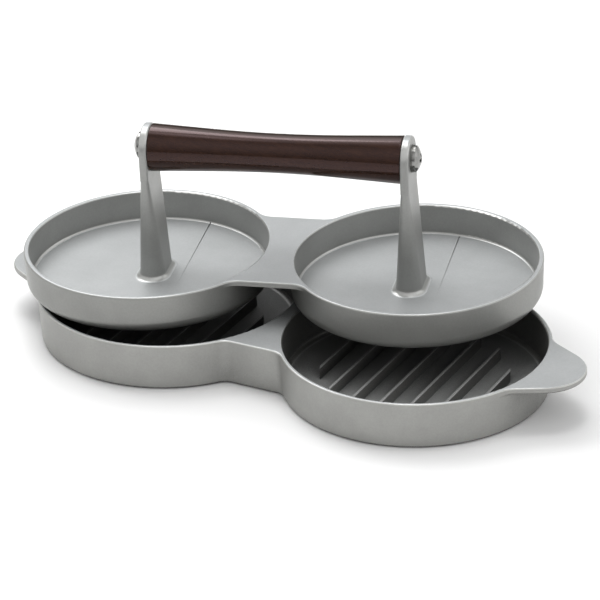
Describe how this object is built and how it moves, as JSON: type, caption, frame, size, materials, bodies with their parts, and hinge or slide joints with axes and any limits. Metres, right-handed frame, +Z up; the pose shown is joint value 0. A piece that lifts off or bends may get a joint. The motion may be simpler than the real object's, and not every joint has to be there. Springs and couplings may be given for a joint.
{
  "type": "patty press",
  "caption": "Burger patty press: cast aluminium tray with ribbed round pans and end tabs, and a loose matching press with posts and a wooden bridge handle, lying askew on the tray",
  "frame": {"origin": "Middle of the tray, on the surface it stands on, halfway between its two pan centres", "axes": "+Z up, away from the surface. +X along the line through the two tray pan centres, towards the tab that is free of the press. +Y towards the back, away from the viewer"},
  "size_m": [0.2906, 0.1552, 0.1041],
  "materials": {
    "tray_aluminium": "satin",
    "press_aluminium": "satin",
    "handle_wood": "polished",
    "screw_chrome": "polished",
    "washer_steel": "satin",
    "insert_brass": "satin"
  },
  "bodies": {
    "tray": {"base_tray": "tray_aluminium"},
    "press": {"press_casting": "press_aluminium", "grip_handle": "handle_wood", "left_screw": "screw_chrome", "right_screw": "screw_chrome", "left_washer": "washer_steel", "right_washer": "washer_steel", "left_insert": "insert_brass", "right_insert": "insert_brass"}
  },
  "joints": [
    {"name": "press_lift", "type": "slide", "parent": "tray", "child": "press", "axis": [0, 0, 1], "range_m": [0, 0.12]}
  ]
}
